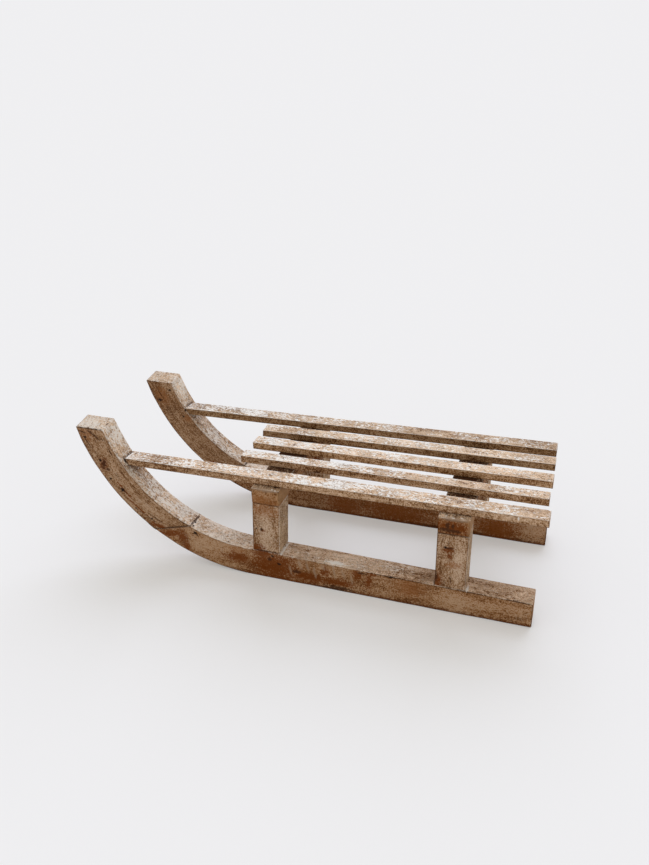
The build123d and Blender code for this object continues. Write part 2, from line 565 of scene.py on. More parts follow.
def horn_blank(side):
    blank = bmesh.new()
    bmesh.ops.create_grid(blank, x_segments=1, y_segments=1, size=0.5)
    depth = SOLE_RADIUS - HOLLOW_RADIUS
    bmesh.ops.scale(blank, vec=(depth, THICKNESS, 1), verts=blank.verts)
    bmesh.ops.rotate(blank, matrix=Matrix.Rotation(math.radians(90), 3, "Y"), verts=blank.verts)
    middle_y = (OUTER_FACE - THICKNESS / 2) * (1 if side == "left" else -1)
    place = Vector((CURVE_AXIS.x, middle_y, CURVE_AXIS.z - SOLE_RADIUS + depth / 2))
    bmesh.ops.translate(blank, vec=place, verts=blank.verts)
    bmesh.ops.rotate(blank, cent=CURVE_AXIS, matrix=Matrix.Rotation(-HORN_FOOT, 3, "Y"), verts=blank.verts)
    section = blank.verts[:] + blank.edges[:] + blank.faces[:]
    for angle, steps in ((49.5, 15), (12, 1)):
        turned = bmesh.ops.spin(
            blank, geom=section, cent=CURVE_AXIS, axis=(0, -1, 0), angle=math.radians(angle), steps=steps
        )
        section = turned["geom_last"]
    saw_off(blank, SCARF_START, SCARF_FACING, keep_below=False)
    saw_off(blank, HIGH_EDGE[side], Vector((0, math.tan(TOP_TILT), 1)).normalized(), keep_below=True)
    bmesh.ops.dissolve_limit(blank, angle_limit=math.radians(1), verts=blank.verts, edges=blank.edges)
    bmesh.ops.recalc_face_normals(blank, faces=blank.faces)
    return blank


for side in HIGH_EDGE:
    tried = horn_blank(side)
    open_edges = sum(not edge.is_manifold for edge in tried.edges)
    print(side, "blank:", len(tried.faces), "faces and", open_edges, "open edges")
    tried.free()

# %% [markdown]
# ## Horns
# The fine slices come after the borders, as on the runners. The corners of a horn are the most handled on
# the whole sledge, the rear one at the top above all, and the left horn has lost two chips from it.

# %% Horns
def make_horn(side, seed, chips):
    dice = random.Random(seed)
    horn = horn_blank(side)
    border_faces(horn, 5.5 * MM)
    slice_at(horn, fan_slices(math.radians(27), math.radians(72), 0.0095, dice))
    onto_the_curve(horn, 2.6 * MM)
    press_in(horn, seed, 0.5 * MM)
    for place, reach, push in chips:
        chip(horn, place, reach, push)
    wear_corners(horn, seed, 0.3)
    finish_piece(horn, f"horn_{side}", 3.2)


make_horn("left", 21, [
    ((434.5, 127, 319), 13, (2.6, 0, -3.0)),
    ((433.5, 147, 317.5), 9, (2.2, 0, -2.2)),
    ((482.8, 170, 291.4), 7, (0, -1.2, 0)),
    ((506, 165, 316), 12, (-1.8, -0.8, -1.2)),
    ((408, 170, 167), 6, (0, -1.4, 0)),
])
make_horn("right", 22, [
    ((435, -165, 311), 11, (2.2, 0.8, -2.2)),
    ((505, -130, 309), 12, (-1.6, 0.6, -1.4)),
    ((460, -170, 250), 10, (0, 1.6, 0)),
])

# %% [markdown]
# ## Posts
# Four short posts stand on the runners' tops, as thick as the runners. They lean back a little, the front
# ones more. Their grain stands upright, so the slices are level. They are rounded less: nothing rubs on
# them.

# %% Posts
def make_post(node, seed):
    dice = random.Random(seed)
    post = whole_timber(node)
    border_faces(post, 4.5 * MM)
    slice_at(post, straight_slices(2, 64 * MM, 188 * MM, 4 * MM, dice))
    press_in(post, seed, 0.4 * MM)
    wear_corners(post, seed, 0.25)
    finish_piece(post, node, 2.4)


make_post("post_front_left", 31)
make_post("post_front_right", 32)
make_post("post_rear_left", 33)
make_post("post_rear_right", 34)

# %% [markdown]
# ## Crossbars
# One crossbar lies across each pair of posts, its ends flush with their outer faces. Its grain runs from
# side to side, so the slices do not.

# %% Crossbars
def make_crossbar(node, seed):
    dice = random.Random(seed)
    crossbar = whole_timber(node)
    border_faces(crossbar, 4.5 * MM)
    slice_at(crossbar, straight_slices(1, -164 * MM, 165 * MM, 4.4 * MM, dice))
    press_in(crossbar, seed, 0.4 * MM)
    wear_corners(crossbar, seed, 0.3)
    finish_piece(crossbar, node, 2.4)


make_crossbar("crossbar_front", 41)
make_crossbar("crossbar_rear", 42)

# %% [markdown]
# ## Slats
# Five slats make the deck. Their widths and their rear ends differ. The outer two reach forward and are
# coped to the horns' hollow faces. A slat is only 17 mm thick, so its border is narrow.

# %% Slats
def make_slat(node, seed, chips):
    dice = random.Random(seed)
    slat = whole_timber(node)
    border_faces(slat, 3.4 * MM)
    low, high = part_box(node)
    slice_at(slat, straight_slices(0, low[0] + 5 * MM, high[0] - 5 * MM, 4.4 * MM, dice))
    press_in(slat, seed, 0.4 * MM)
    for place, reach, push in chips:
        chip(slat, place, reach, push)
    wear_corners(slat, seed, 0.25)
    finish_piece(slat, node, 1.9)


make_slat("slat_1", 51, [((-501, -131, 242), 9, (1.2, -1, -1.2))])
make_slat("slat_2", 52, [((160, -56, 242), 8, (-1.4, -1.0, -1.2))])
make_slat("slat_3", 53, [((-503, 6.5, 242), 10, (1.6, -1.2, -1.2))])
make_slat("slat_4", 54, [((-500, 76, 242), 9, (1.4, -1.2, -1))])
make_slat("slat_5", 55, [((-506, 151, 242), 11, (1.8, -1.4, -1.4)), ((250, 155, 242), 10, (0, -1, -1))])

# %% [markdown]
# ## Which way the grain runs
# Wood looks like wood because everything in it is stretched along the grain. Each pattern is read from a
# place whose first number runs along the grain. For slats and runners that is X as it is. A crossbar's and a
# post's place is turned by a Mapping node. A horn's grain follows its bend, so its place becomes the angle
# round the axis of the curve and the distance from it, as if the horn were steamed straight.

# %% Helper: grain
def grain_straight(place):
    return place


def grain_turned(turn):
    def turned(place):
        return place.node("ShaderNodeMapping", None, {"Vector": place, "Rotation": turn})
    return turned


def grain_bent(place):
    from_axis = place - tuple(CURVE_AXIS)
    across = from_axis.along((1, 0, 0))
    down = from_axis.along((0, 0, -1))
    angle = across.node("ShaderNodeMath", {"operation": "ARCTAN2"}, {0: across, 1: down})
    radius = (from_axis * (1, 0, 1)).length()
    sockets = {"X": angle * (SOLE_RADIUS + HOLLOW_RADIUS) * 0.5, "Y": place.along((0, 1, 0)), "Z": radius}
    return place.node("ShaderNodeCombineXYZ", None, sockets)


print("a horn's grain is read", round((SOLE_RADIUS + HOLLOW_RADIUS) / 2 / MM, 1), "mm from its axis")

# %% [markdown]
# ## Where a mark lies
# Knots, stains, nail rust and scars sit in definite places on the sledge, so they are placed one by one, as
# a kind, a middle, three half sizes and a turn, in millimetres and degrees. Three helpers write them down by
# the handful: `spots` and `scratches` for a side face, and `top_spots` for a face that looks up. A mark
# reaches a few millimetres into the wood, so that it shows on one face and not on the next.

# %% Helper: places of marks
LEFT, LEFT_INNER, RIGHT_INNER, RIGHT = 170, 118.5, -118.5, -170
DECK, BAR_TOP = 242.5, 225.5


def spot(kind, face, x, z, along, across, turn=0, through=8):
    return (kind, (x, face, z), (along, through, across), -turn)


def spots(kind, face, *places):
    """Each place is X, Z, a half size along and one across, and if need be a turn, nose up, and a depth."""
    return [spot(kind, face, *place) for place in places]


def scratches(kind, face, *lines):
    """Each line is its start and its end, both as X and Z, and half its width."""
    marks = []
    for start, end, width in lines:
        run, rise = end[0] - start[0], end[1] - start[1]
        turn = math.degrees(math.atan2(rise, run))
        x, z = (start[0] + end[0]) / 2, (start[1] + end[1]) / 2
        marks.append(spot(kind, face, x, z, math.hypot(run, rise) / 2, width, turn))
    return marks


def top_spot(kind, x, y, z, along, across, deep=5):
    return (kind, (x, y, z), (along, across, deep), 0)


def top_spots(kind, *places):
    """Each place is X, Y, Z, a half size along X and one along Y, and if need be one up and down."""
    return [top_spot(kind, *place) for place in places]


print("a scratch is kept as", scratches("dark", LEFT, ((0, 30), (40, 60), 2))[0])

# %% [markdown]
# ## What a mark does
# A mark is a soft ball or a flattened one: a Mapping node of type Texture brings its middle to zero and its
# half sizes to one, so the length of what comes out is the distance, and 1 is its rim. Marks of one kind are
# joined by taking the least distance. Noise added to the distance frays the rim, and a fade turns it into a
# mask.
#
# Eight kinds are a paint of their own, from `warm` brown and `red` stain to splashes of `lime` and the
# `black` of a nail hole. Five kinds lay no paint. They push one of the wood's own sums up or down where they
# lie: `limy` and `bare` wood holds more or less lime, `bright` and `dull` wood is paler or darker, and
# `grimy` wood has specks of dirt. Those look as if they had grown there, so they are the better choice
# wherever they are enough.

# %% Helper: marks
MARK_PAINTS = {
    # kind: the paint, how strongly it covers, how soft its rim is
    "warm": (paint(140, 88, 46), 0.6, 0.7),
    "red": (paint(106, 50, 0), 0.9, 0.6),
    "dark": (paint(66, 38, 20), 0.85, 0.4),
    "smear": (paint(156, 130, 106), 0.7, 0.5),
    "tan": (paint(162, 126, 88), 0.7, 0.5),
    "damp": (paint(120, 64, 14), 0.85, 0.6),
    "lime": (paint(228, 222, 214), 0.9, 0.3),
    "black": (paint(30, 17, 10), 0.95, 0.25),
}
PUSH_SOFTNESS = 0.9
FRAYING = 4.5


def mark_mask(wood, kind, softness):
    nearest = None
    for mark_kind, centre, size, turn in wood.marks:
        if mark_kind != kind:
            continue
        sockets = {
            "Vector": wood.place,
            "Location": tuple(part * MM for part in centre),
            "Rotation": (0, math.radians(turn), 0),
            "Scale": tuple(part * MM for part in size),
        }
        distance = wood.place.node("ShaderNodeMapping", {"vector_type": "TEXTURE"}, sockets).length()
        nearest = distance if nearest is None else nearest.least(distance)
    if nearest is None:
        return None
    return (nearest + (wood.fray - 0.5) * FRAYING).fade(1 + softness * 0.5, 1 - softness)


def pushed(value, wood, pushes):
    for kind, amount in pushes.items():
        mask = mark_mask(wood, kind, PUSH_SOFTNESS)
        if mask is not None:
            value = value + mask * amount
    return value


def with_marks(colour, wood):
    for kind, (tint, strength, softness) in MARK_PAINTS.items():
        mask = mark_mask(wood, kind, softness)
        if mask is not None:
            colour = colour.mix(tint, mask * strength)
    return colour


print("kinds of mark with a paint of their own:", ", ".join(MARK_PAINTS))

# %% [markdown]
# ## The wood's patterns
# Everything in the wood comes from a handful of noises, and each is made once and used in many places. The
# fibres are about 2 mm wide and the streaks about 10 mm, and both are many times as long; a slow wander bows
# them a little. The blotches, the fine speckle and the slow changes over a hand's width pay no heed to the
# grain. The seed moves each timber to another part of the endless noise, so that no two of them look the
# same. The `arris` attribute tells where the corners are.

# %% Helper: patterns
FIBRES = (60, 520, 520)
STREAKS = (8, 95, 95)


def wood_patterns(tree, grain_of, marks, seed):
    place = Strand(tree.nodes.new("ShaderNodeTexCoord").outputs["Object"])
    normal = Strand(tree.nodes.new("ShaderNodeNewGeometry").outputs["Normal"])
    arris = place.node("ShaderNodeAttribute", {"attribute_name": "arris"}, None, "Fac")
    wood = SimpleNamespace(place=place, normal=normal, arris=arris, marks=marks)
    wood.grain = grain_of(place) + (seed * 0.37, seed * 0.11, seed * 0.23)
    wood.loose = place + (seed * 0.19, seed * 0.41, seed * 0.13)
    wander = wood.grain.noise(22, 1)
    bow = wander.node("ShaderNodeCombineXYZ", None, {"Z": wander * 0.012, "Y": wander * 0.008})
    wood.bowed = wood.grain + bow
    wood.fibre = (wood.bowed * FIBRES).noise(1, 3, 0.65)
    wood.streak = (wood.bowed * STREAKS).noise(1, 3, 0.6)
    wood.blotch = wood.loose.noise(100, 6, 0.76)
    wood.speckle = wood.loose.noise(330, 3, 0.8)
    wood.slow = wood.loose.noise(13, 2)
    wood.forward = place.along((1, 0, 0))
    wood.fray = wood.loose.noise(160, 5, 0.7) * 0.6 + wood.speckle * 0.4
    return wood


widths = [round(1 / pattern[1] / MM, 1) for pattern in (FIBRES, STREAKS)]
print("fibres and streaks across the grain, in mm:", widths)

# %% [markdown]
# ## Brown sides and bleached tops
# The sides have kept their brown, in streaks and blotches. The faces that look up have gone pale in the sun.
# So two colours are made, each a colour ramp over a sum of noises around its middle, and mixed by how far
# the surface looks towards the light. Blotches are added to that measure, so that the border between the two
# doesn't run along the corner like a ruled line. A ramp of four paints gives a livelier wood than one paint
# made lighter and darker, because old wood is redder where it is dark and greyer where it is pale.

# %% Helper: brown and bleached
MIDDLE = 0.52
BLEACH_STARTS, BLEACH_FULL = 0.3, 0.55


def brown_and_bleached(wood, finish):
    drift = pushed((wood.slow - 0.5) * 0.6, wood, {"bright": 0.22, "dull": -0.26})
    figure = ((wood.fibre - 0.5) + (wood.streak - 0.5) * 0.8) * finish["figure"]
    mottle = (wood.blotch - 0.5) * finish["mottle"]
    slope = wood.forward * finish["side_slope"]
    tone = MIDDLE + figure + mottle + (wood.speckle - 0.5) * 3.0 + drift + slope
    brown = tone.ramp(*zip((0.14, 0.4, 0.6, 0.88), finish["side"]))
    bleach = MIDDLE + figure * 1.1 + (wood.blotch - 0.5) * 2.0 + (wood.speckle - 0.5) * 2.8 + drift
    bleached = bleach.ramp(*zip((0.2, 0.38, 0.52, 0.85), finish["top"]))
    return brown, bleached


def looks_to_the_light(wood, finish):
    looks = wood.normal.along(finish["facing"]) + (wood.blotch - 0.5) * 0.5
    return looks.fade(BLEACH_STARTS, BLEACH_FULL)


tilts = [round(math.degrees(math.acos(share))) for share in (BLEACH_STARTS, BLEACH_FULL)]
print("brown beyond", tilts[0], "degrees from the light, bleached within", tilts[1])

# %% [markdown]
# ## Limewash and grime
# The sledge was once whitewashed, and flecks of lime still sit between the fibres. A noise stretched a
# little along the grain is cut off at a level: above it there is lime, and the level follows from how much
# `cover` a finish wants. On the tops the cut is sharp. On the sides it is soft, because only a bloom is
# left. Between the flecks, short nicks show older, darker wood, and specks of grime gather in some places
# and not in others.

# %% Helper: lime and grime
FLECKS = (130, 230, 230)
NICKS = (150, 400, 400)
LIME_BLOOM = paint(190, 168, 148)
TOP_LEVEL, SIDE_LEVEL, LEVEL_PER_COVER = 0.68, 0.8, 0.25


def lime_masks(wood, finish):
    flecks = (wood.bowed * FLECKS).noise(1, 4, 0.72)
    spread = wood.loose.noise(24, 2)
    limed = flecks + (spread - 0.5) * 0.32 + wood.forward * finish["top_slope"]
    limed = pushed(limed, wood, {"limy": 0.07, "bare": -0.06})
    top_level = TOP_LEVEL - finish["cover"] * LEVEL_PER_COVER
    side_level = SIDE_LEVEL - finish["side_cover"] * LEVEL_PER_COVER
    return limed.fade(top_level, top_level + 0.02), limed.fade(side_level, side_level + 0.12)


def dressed_top(bleached, top_lime, wood, finish):
    nicks = (wood.bowed * NICKS).noise(1, 4, 0.78)
    dirty = pushed(wood.loose.noise(17, 3).fade(0.44, 0.62), wood, {"grimy": 1}).least(1)
    specks = (wood.speckle * 0.6 + wood.blotch * 0.4).fade(0.49, 0.57) * dirty
    colour = bleached.mix(finish["nicks"], nicks.fade(0.56, 0.6) * 0.65)
    colour = colour.mix(finish["flecks"], top_lime * 0.92)
    return colour.mix(finish["grime"], specks * 0.6)


print("the lime noise is cut at", TOP_LEVEL, "on top, and lower by", LEVEL_PER_COVER, "at full cover")

# %% [markdown]
# ## Sawn ends, drying checks and pits
# A sawn end shows faint rings: the distance from the timber's own axis goes through a sine, and the mask
# holds them to faces that look along the grain. A drying check is a thin dark line along the grain, where a
# long stretched noise passes through its middle value; another noise allows them only here and there. Pits
# are the brightest grains of the speckle, turned dark.

# %% Helper: rings, checks and pits
CHECKS = (11, 170, 170)
RING_RATE = 1800


def end_rings(wood, finish):
    across = (wood.grain * (0, 1, 1)).length() * RING_RATE + (wood.streak - 0.5) * 7
    sawn_end = wood.normal.along(finish["ends"]).alone("ABSOLUTE").fade(0.75, 0.9)
    return across.alone("SINE").fade(0.1, 1.0) * sawn_end


def drying_checks(wood):
    off_middle = ((wood.bowed * CHECKS).noise(1, 2, 0.6) - 0.5).alone("ABSOLUTE")
    return off_middle.fade(0.012, 0.0) * wood.loose.noise(31, 2).fade(0.5, 0.62)


print("one ring every", round(2 * math.pi / RING_RATE / MM, 1), "mm")

# %% [markdown]
# ## Corners and soles
# The same corner is painted pale where it looks towards the light, for wear and as a painted highlight, and
# dark where it looks away, for dirt and as painted shade, so the one rim mask paints twice. The soles are
# painted dark, for dried mud and as the painted contact shadow where a runner meets the floor. Its mask is
# simply the height above the ground, full up to 3 mm and gone at 11 mm, and the blotches make its edge
# ragged.

# %% Helper: corners, lit and shaded, and dark soles
# corner paints: pale for wear and a painted highlight, dark for dirt and painted shade; the sole paint is
# dried mud and the painted contact shadow
RUBBED_AND_HIGHLIT = paint(232, 222, 212)
RIM_DIRT_AND_SHADE = paint(56, 29, 10)
MUD_AND_CONTACT_SHADOW = paint(84, 38, 2)
MUD_AND_SHADOW_GONE, MUD_AND_SHADOW_FULL = 11 * MM, 3 * MM


def worn_and_muddy(colour, looks_up, wood, finish):
    rim = wood.arris.fade(0.25, 1.0) * wood.blotch.fade(0.34, 0.5)
    # pale corners towards the light: wear and a painted highlight; dark corners away from it: dirt and
    # painted shade
    colour = colour.mix(RUBBED_AND_HIGHLIT, rim * looks_up * finish["rubbed"])
    colour = colour.mix(RIM_DIRT_AND_SHADE, rim * (1 - looks_up) * 0.8)
    # dark soles: dried mud and the painted contact shadow where the runner meets the floor
    if finish["mud"]:
        height = wood.place.along((0, 0, 1)) + (wood.blotch - 0.5) * 0.03
        colour = colour.mix(MUD_AND_CONTACT_SHADOW, height.fade(MUD_AND_SHADOW_GONE, MUD_AND_SHADOW_FULL) * finish["mud"])
    return colour


print("mud reaches", round(MUD_AND_SHADOW_GONE / MM), "mm up")

# %% [markdown]
# ## Weathered wood
# Now the layers go on in this order: the wood, the lime, the rings, checks and pits, the corners with their
# wear and their painted highlights and shade, the dark soles of mud and painted contact shadow, and last the
# placed marks. Fibres, streaks, checks, pits and lime also make the bump, so that what looks like a crack is
# one.
# Dry wood hardly shines.
#
# A finish is a small table. `side` and `top` are four paints each, from dark to pale. `flecks`, `nicks` and
# `grime` are the paints on the top, and `cover` and `side_cover` say how much lime is left. `side_slope`
# makes the sides paler or darker towards the horns, and `top_slope` the lime thicker or thinner. `figure`
# and `mottle` are the strength of the grain and of the blotches. `facing` is the way to the light, `ends`
# the way that a sawn end looks, `rubbed` how pale the corners are made, for wear and as a painted highlight,
# and `mud` how dark the soles are made, for mud and as a painted contact shadow. `PLAIN`
# holds what most of them share.

# %% Helper: the wood
UP = (0, 0, 1)
PLAIN = {"facing": UP, "figure": 1.0, "side_slope": 0, "top_slope": 0, "mud": 0}
RING_DARK = paint(96, 64, 40)
CHECK_DARK = paint(52, 32, 18)
PIT_DARK = paint(78, 52, 34)


def weathered_wood(name, finish, grain_of, marks, seed):
    material = bpy.data.materials.new(name)
    material.use_nodes = True
    material.node_tree.nodes.clear()
    wood = wood_patterns(material.node_tree, grain_of, marks, seed)
    looks_up = looks_to_the_light(wood, finish)
    brown, bleached = brown_and_bleached(wood, finish)
    top_lime, side_lime = lime_masks(wood, finish)
    check = drying_checks(wood)
    pits = wood.speckle.fade(0.6, 0.7)

    side_colour = brown.mix(LIME_BLOOM, side_lime * 0.55)
    colour = side_colour.mix(dressed_top(bleached, top_lime, wood, finish), looks_up)
    colour = colour.mix(RING_DARK, end_rings(wood, finish) * 0.1)
    colour = colour.mix(CHECK_DARK, check * 0.8)
    colour = colour.mix(PIT_DARK, pits * 0.65)
    colour = worn_and_muddy(colour, looks_up, wood, finish)
    colour = with_marks(colour, wood)

    height = wood.fibre * 0.5 + wood.streak * 0.5 + top_lime * looks_up * 0.3 - check * 0.9 - pits * 0.5
    bump = height.node("ShaderNodeBump", None, {"Strength": 0.7, "Distance": 0.6 * MM, "Height": height})
    rough = 0.86 - (wood.blotch - 0.5) * 0.25 - check * 0.1
    sockets = {"Base Color": colour, "Roughness": rough, "Normal": bump, "Specular IOR Level": 0.12}
    surface = colour.node("ShaderNodeBsdfPrincipled", None, sockets)
    surface.node("ShaderNodeOutputMaterial", None, {"Surface": surface})
    return material


def finish_with(node, wood):
    mesh = timbers[node].data
    mesh.materials.clear()
    mesh.materials.append(wood)
    print(node, "wood has", len(wood.node_tree.nodes), "nodes")


def say_cover(finish):
    print("lime left:", finish["cover"], "on top and", finish["side_cover"], "on the sides")


print("a plain finish:", PLAIN)

# %% [markdown]
# ## The slats' paints
# All five slats came from the same plank and lay in the same weather, so they share one finish.
# `SIDE_SHADE` and `TOP_SHADE` multiply each slat's paints' red, green and blue. The far slats' sides come
# out darker and the near ones' paler, which in part paints the shade that falls between the slats.

# %% The slats' paints
SLAT = {
    **PLAIN,
    "side": (paint(84, 52, 26), paint(130, 94, 60), paint(162, 128, 94), paint(194, 166, 138)),
    "top": (paint(130, 98, 72), paint(196, 167, 138), paint(221, 193, 164), paint(229, 206, 183)),
    "flecks": paint(243, 241, 237), "nicks": paint(136, 104, 78), "grime": paint(136, 112, 92),
    "cover": 0.66, "side_cover": 0.2, "top_slope": 0.07, "mottle": 1.1, "ends": (1, 0, 0), "rubbed": 0.6,
}
SIDE_SHADE = {
    "slat_1": (0.86, 0.83, 0.75), "slat_2": (0.83, 0.8, 0.72), "slat_3": (1.3, 1.29, 1.25),
    "slat_4": (1.24, 1.25, 1.27), "slat_5": (1.2, 1.22, 1.28),
}
TOP_SHADE = {
    "slat_1": (0.86, 0.84, 0.81), "slat_2": (1.08, 1.08, 1.07), "slat_3": (1.15, 1.15, 1.15),
    "slat_4": (1.06, 1.05, 1.04), "slat_5": (1.04, 1.02, 1.0),
}
SIDE_SLOPE = {"slat_2": 0.12, "slat_5": -0.2}


def shaded(colours, shade):
    shades = []
    for colour in colours:
        shades.append((*(min(1, part * share) for part, share in zip(colour, shade)), 1))
    return tuple(shades)


say_cover(SLAT)

# %% [markdown]
# ## Marks on the slats
# The slats also differ in where they are limy, bare or grimy. The outer ones are darkest at the front, where
# hands and rope have been. Every slat has a darker ring round each nail, so the nails' places are written
# down here too.

# %% Marks on the slats
NAIL_ROWS = {
    "slat_1": ((59.8, -142.4), (-333.3, -148.1), (402, -146)),
    "slat_2": ((59.8, -73.8), (-333.3, -80.9)),
    "slat_3": ((59.8, -8.7), (-333.3, -9.6)),
    "slat_4": ((59.8, 59.9), (-333.3, 61.4)),
    "slat_5": ((59.8, 135.5), (-333.3, 133.8), (388, 127)),
}
SLAT_MARKS = {
    "slat_1": [
        # grimy at the rear, along the right edge and where hands held the front
        *top_spots("grimy", (-240, -158, DECK, 50, 12), (-440, -155, DECK, 70, 26),
                   (350, -147, DECK, 60, 30)),
        *top_spots("dull", (-450, -150, DECK, 50, 20), (-236, -160, DECK, 40, 8), (290, -147, DECK, 80, 18),
                   (-300, -144, DECK, 60, 10), (370, -147, DECK, 40, 30)),
        *top_spots("bare", (-225, -150, DECK, 70, 30), (-335, -147, DECK, 40, 30),
                   (90, -147, DECK, 60, 30)),
        # one limy place, and the dirt line where the slat meets the horn
        *top_spots("limy", (230, -147, DECK, 32, 24)),
        *top_spots("dark", (400, -146, DECK, 2.5, 20, 10)),
    ],
    "slat_2": [
        *top_spots("grimy", (-450, -86, DECK, 60, 24), (80, -72, DECK, 60, 24)),
        *top_spots("dull", (-455, -84, DECK, 30, 12), (100, -72, DECK, 60, 26)),
        *top_spots("bare", (90, -72, DECK, 80, 30)),
        *top_spots("bright", (-230, -78, DECK, 100, 30)),
        # the left side, darker low down above the front crossbar
        *spots("dull", -55, (40, 230, 36, 12)),
        *spots("dark", -55, (30, 226, 8, 3)),
    ],
    "slat_3": [
        *top_spots("limy", (-163, -16, DECK, 34, 10), (124, -6, DECK, 20, 14)),
        *top_spots("bright", (-320, -10, DECK, 110, 30)),
    ],
    "slat_4": [
        *top_spots("limy", (52, 58, DECK, 45, 18), (130, 55, DECK, 30, 18), (-77, 50, DECK, 40, 18)),
        *top_spots("grimy", (-345, 60, DECK, 60, 18), (-200, 60, DECK, 60, 10)),
        *top_spots("bare", (-335, 60, DECK, 40, 30)),
        # the left side
        *spots("dull", 76, (-30, 231, 34, 12)),
        *spots("dark", 76, (-24, 228, 9, 3)),
    ],
    "slat_5": [
        # the limiest slat of the deck, except where it was gripped in front
        *top_spots("limy", (-6, 135, DECK, 34, 18), (-84, 134, DECK, 46, 18), (271, 138, DECK, 50, 20)),
        *top_spots("grimy", (350, 137, DECK, 60, 30), (-451, 135, DECK, 60, 24), (-360, 134, DECK, 60, 22)),
        *top_spots("dull", (340, 137, DECK, 80, 34), (350, 137, DECK, 50, 34)),
        *top_spots("dark", (400, 137, DECK, 2.5, 20, 10)),
        *top_spots("bare", (300, 137, DECK, 110, 40), (-335, 133, DECK, 20, 30)),
        # the outer side
        *spots("lime", 155, (-450, 236, 2, 7)),
        *spots("bright", 155, (-60, 234, 90, 14)),
    ],
}
print("marks on each slat:", {node: len(marks) for node, marks in SLAT_MARKS.items()})

# %% [markdown]
# ## The slats' wood
# A slat's paints are the shared ones times its own shade, and its marks are joined by its nails' rings. The
# seed moves its patterns to a place of their own.

# %% The slats' wood
for seed, (node, marks) in enumerate(SLAT_MARKS.items(), 1):
    finish = {**SLAT, "side_slope": SIDE_SLOPE.get(node, 0)}
    finish["side"] = shaded(SLAT["side"], SIDE_SHADE[node])
    finish["top"] = shaded(SLAT["top"], TOP_SHADE[node])
    nail_rings = top_spots("dull", *((x, y, DECK, 6, 6, 3) for x, y in NAIL_ROWS[node]))
    finish_with(node, weathered_wood(node + " wood", finish, grain_straight, marks + nail_rings, seed))

# %% [markdown]
# ## The runners' paints
# A runner is browner and redder than the deck, because snow and wet floors have kept it damp. Its top is
# taupe with flecks of lime, thicker towards the nose. Its sole is painted dark, for dried mud and as the
# painted contact shadow where it meets the floor.

# %% The runners' paints
RUNNER = {
    **PLAIN,
    "side": (paint(84, 46, 18), paint(130, 88, 50), paint(158, 116, 78), paint(182, 150, 120)),
    "top": (paint(110, 76, 50), paint(163, 129, 97), paint(196, 162, 131), paint(224, 200, 176)),
    "flecks": paint(230, 217, 203), "nicks": paint(98, 68, 44), "grime": paint(104, 76, 50),
    "cover": 0.42, "side_cover": 0.15, "side_slope": -0.12, "top_slope": 0.2,
    "mottle": 1.2, "mud": 0.7, "ends": (1, 0, 0), "rubbed": 0.1,
}
say_cover(RUNNER)

# %% [markdown]
# ## Marks on the left runner
# Rust and old oil have stained the outer side dark red round the front post, behind the scarf and along the
# sole. Between the stains it is pale or still shows thin strokes of the lime brush.

